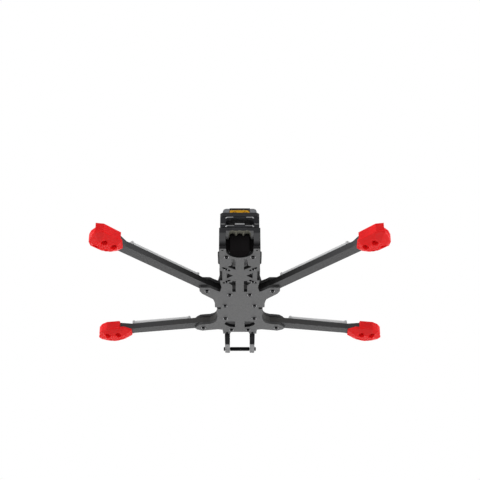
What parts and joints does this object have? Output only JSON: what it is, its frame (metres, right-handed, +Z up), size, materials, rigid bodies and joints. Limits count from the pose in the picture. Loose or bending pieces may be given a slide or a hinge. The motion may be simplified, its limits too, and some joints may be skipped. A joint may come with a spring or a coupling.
{
  "type": "quadcopter airframe",
  "caption": "Bare carbon quadcopter airframe with sandwiched arms, an electronics deck, a camera cage, light bars on the arms and red motor feet.",
  "frame": {"origin": "middle of the bounding box in plan, at the level of the four foot soles", "axes": "+Z up from the feet to the battery deck, +Y towards the nose with the camera cage, +X to the right"},
  "size_m": [0.3106, 0.2728, 0.056],
  "materials": {
    "carbon_laminate": "matt dark grey carbon laminate",
    "red_soft_plastic": "printed soft red plastic",
    "pale_light_bar": "pale grey diffuser",
    "black_soft_plastic": "matt black soft plastic",
    "black_alloy": "black anodised alloy",
    "amber_plastic": "amber moulded plastic",
    "steel": "plain steel fasteners"
  },
  "bodies": {
    "root": {"arm_front_left": "carbon_laminate", "arm_front_right": "carbon_laminate", "arm_rear_left": "carbon_laminate", "arm_rear_right": "carbon_laminate", "bottom_plate": "carbon_laminate", "cable_boot": "black_soft_plastic", "cage_crossbar": "black_alloy", "cage_screw_left": "steel", "cage_screw_right": "steel", "camera_plate_left": "black_alloy", "camera_plate_right": "black_alloy", "foot_front_left": "red_soft_plastic", "foot_front_right": "red_soft_plastic", "foot_rear_left": "red_soft_plastic", "foot_rear_right": "red_soft_plastic", "front_ear_bolt_left": "steel", "front_ear_bolt_right": "steel", "front_inner_bolt_left": "steel", "front_inner_bolt_right": "steel", "front_standoff_left": "black_alloy", "front_standoff_right": "black_alloy", "led_bar_front_left": "pale_light_bar", "led_bar_front_right": "pale_light_bar", "led_bar_rear_left": "pale_light_bar", "led_bar_rear_right": "pale_light_bar", "mid_plate": "carbon_laminate", "power_socket": "amber_plastic", "rear_bumper": "carbon_laminate", "rear_ear_bolt_left": "steel", "rear_ear_bolt_right": "steel", "rear_frame": "carbon_laminate", "rear_inner_bolt_left": "steel", "rear_inner_bolt_right": "steel", "rear_standoff_left": "black_alloy", "rear_standoff_right": "black_alloy", "socket_holder": "black_soft_plastic", "stack_front_bolt_left": "steel", "stack_front_bolt_right": "steel", "stack_front_nut_left": "steel", "stack_front_nut_right": "steel", "stack_rear_bolt_left": "steel", "stack_rear_bolt_right": "steel", "stack_rear_nut_left": "steel", "stack_rear_nut_right": "steel", "tail_bolt_left": "steel", "tail_bolt_right": "steel", "tail_standoff_left": "black_alloy", "tail_standoff_right": "black_alloy", "top_plate": "carbon_laminate", "top_screw_front_left": "steel", "top_screw_front_right": "steel", "top_screw_rear_left": "steel", "top_screw_rear_right": "steel", "video_stud_front_left": "steel", "video_stud_front_right": "steel", "video_stud_rear_left": "steel", "video_stud_rear_right": "steel"}
  },
  "joints": []
}
